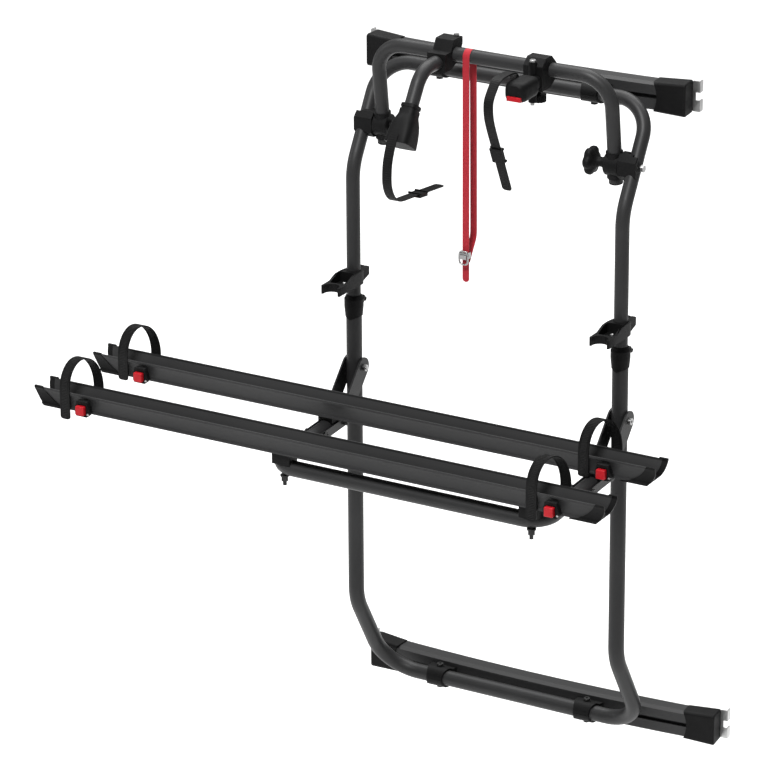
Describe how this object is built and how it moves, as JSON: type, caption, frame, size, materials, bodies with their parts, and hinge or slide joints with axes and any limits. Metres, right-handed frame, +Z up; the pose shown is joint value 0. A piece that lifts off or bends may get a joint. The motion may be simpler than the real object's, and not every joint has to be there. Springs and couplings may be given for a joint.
{
  "type": "bike carrier",
  "caption": "Rear-door bike carrier: tubular frame on curved crossbars, folding wheel-rail platform, tilting holder loop with clamping arms and straps.",
  "frame": {"origin": "on the back of the lower crossbar, midway between the uprights", "axes": "+X to the right seen from behind the vehicle, +Y towards the vehicle, +Z up"},
  "size_m": [1.293, 0.5739, 1.4476],
  "materials": {
    "coated_tube": "satin powder coat",
    "coated_bar": "matt powder coat on extruded aluminium",
    "coated_steel": "black coated steel",
    "black_moulding": "fine grained moulding",
    "strap_plastic": "ribbed flexible strap",
    "red_plastic": "satin",
    "red_webbing": "woven",
    "stainless": "brushed",
    "zinc_fastener": "zinc plated",
    "black_fastener": "black oxide"
  },
  "bodies": {
    "lower_frame": {"lower_frame_tube": "coated_tube", "lower_crossbar": "coated_bar", "lower_crossbar_caps": "black_moulding", "lower_door_hooks": "stainless", "lower_hook_screws": "zinc_fastener", "lower_saddle_clamps": "black_moulding", "lower_saddle_bolts": "black_fastener", "collar_left": "black_moulding", "collar_right": "black_moulding", "collar_screws": "black_fastener", "platform_pivot_bolts": "zinc_fastener"},
    "upper_frame": {"upper_frame_tube": "coated_tube", "upper_crossbar": "coated_bar", "upper_crossbar_caps": "black_moulding", "upper_door_hooks": "stainless", "upper_hook_screws": "zinc_fastener", "upper_saddle_clamps": "black_moulding", "upper_saddle_bolts": "black_fastener", "platform_catch_left": "black_moulding", "platform_catch_right": "black_moulding", "catch_screws": "zinc_fastener", "loop_frame_clamps": "black_moulding", "loop_hinge_bolts": "zinc_fastener"},
    "platform": {"platform_tube": "coated_tube", "platform_arm_left": "coated_steel", "platform_arm_right": "coated_steel", "platform_arm_bolts": "zinc_fastener", "front_rail": "coated_bar", "rear_rail": "coated_bar", "rail_caps": "black_moulding", "rail_spacers": "black_moulding", "rail_studs": "zinc_fastener", "left_wheel_straps": "strap_plastic", "right_wheel_straps": "strap_plastic", "strap_buckles": "black_moulding"},
    "front_left_button": {"front_left_button": "red_plastic"},
    "front_right_button": {"front_right_button": "red_plastic"},
    "rear_left_button": {"rear_left_button": "red_plastic"},
    "rear_right_button": {"rear_right_button": "red_plastic"},
    "loop": {"loop_tube": "coated_tube", "loop_plugs": "black_moulding", "loop_leg_clamps": "black_moulding"},
    "star_knob_left": {"star_knob_left": "black_moulding"},
    "star_knob_right": {"star_knob_right": "black_moulding"},
    "long_arm": {"long_arm_clamp": "black_moulding", "long_arm_screw": "zinc_fastener", "long_arm_tube": "coated_tube", "long_arm_jaw": "black_moulding", "long_arm_strap": "strap_plastic", "long_arm_keeper": "black_moulding"},
    "short_arm": {"short_arm_clamp": "black_moulding", "short_arm_bolt": "zinc_fastener", "short_arm_jaw": "black_moulding", "short_arm_strap": "strap_plastic", "short_arm_keeper": "black_moulding"},
    "short_arm_knob": {"short_arm_knob": "black_moulding"},
    "short_arm_button": {"short_arm_button": "red_plastic"},
    "security_strap": {"security_strap": "red_webbing", "cam_buckle_frame": "stainless"},
    "cam_lever": {"cam_buckle_lever": "stainless"}
  },
  "joints": [
    {"name": "frame_height", "type": "slide", "parent": "lower_frame", "child": "upper_frame", "axis": [0, 0, 1], "range_m": [0, 0.06]},
    {"name": "platform_fold", "type": "hinge", "parent": "lower_frame", "child": "platform", "pos_m": [0, -0.1715, 0.702], "axis": [-1, 0, 0], "range_deg": [0, 91], "deforming": ["right_wheel_straps"]},
    {"name": "loop_tilt", "type": "hinge", "parent": "upper_frame", "child": "loop", "pos_m": [0, -0.12603, 1.204], "axis": [1, 0, 0], "range_deg": [-15, 60]},
    {"name": "left_knob_turn", "type": "hinge", "parent": "upper_frame", "child": "star_knob_left", "pos_m": [0, -0.12603, 1.204], "axis": [1, 0, 0], "continuous": true},
    {"name": "right_knob_turn", "type": "hinge", "parent": "upper_frame", "child": "star_knob_right", "pos_m": [0, -0.12603, 1.204], "axis": [1, 0, 0], "continuous": true},
    {"name": "long_arm_swing", "type": "hinge", "parent": "loop", "child": "long_arm", "pos_m": [0, -0.14903, 1.38], "axis": [1, 0, 0], "range_deg": [-60, 30]},
    {"name": "short_arm_swing", "type": "hinge", "parent": "loop", "child": "short_arm", "pos_m": [0, -0.14903, 1.38], "axis": [1, 0, 0], "range_deg": [-60, 20]},
    {"name": "tension_knob_turn", "type": "hinge", "parent": "short_arm", "child": "short_arm_knob", "pos_m": [0.109, -0.16303, 1.318], "axis": [0, 0, 1], "continuous": true},
    {"name": "short_button_press", "type": "slide", "parent": "short_arm", "child": "short_arm_button", "axis": [0, 1, 0], "range_m": [0, 0.003], "stiffness_N_per_m": 400, "springref_m": -0.001},
    {"name": "strap_swing", "type": "hinge", "parent": "loop", "child": "security_strap", "pos_m": [0, -0.14903, 1.38], "axis": [1, 0, 0], "range_deg": [-60, 20], "deforming": ["security_strap"]},
    {"name": "cam_lever_turn", "type": "hinge", "parent": "security_strap", "child": "cam_lever", "pos_m": [-0.0495, -0.17103, 0.981], "axis": [-1, 0, 0], "range_deg": [0, 80], "stiffness_Nm_per_rad": 0.02, "springref_deg": -17.19},
    {"name": "front_left_button_press", "type": "slide", "parent": "platform", "child": "front_left_button", "axis": [0, 1, 0], "range_m": [0, 0.003], "stiffness_N_per_m": 400, "springref_m": -0.001},
    {"name": "front_right_button_press", "type": "slide", "parent": "platform", "child": "front_right_button", "axis": [0, 1, 0], "range_m": [0, 0.003], "stiffness_N_per_m": 400, "springref_m": -0.001},
    {"name": "rear_left_button_press", "type": "slide", "parent": "platform", "child": "rear_left_button", "axis": [0, 1, 0], "range_m": [0, 0.003], "stiffness_N_per_m": 400, "springref_m": -0.001},
    {"name": "rear_right_button_press", "type": "slide", "parent": "platform", "child": "rear_right_button", "axis": [0, 1, 0], "range_m": [0, 0.003], "stiffness_N_per_m": 400, "springref_m": -0.001}
  ],
  "couplings": [
    {"joint": "strap_swing", "follows": "loop_tilt", "ratio": -1}
  ]
}
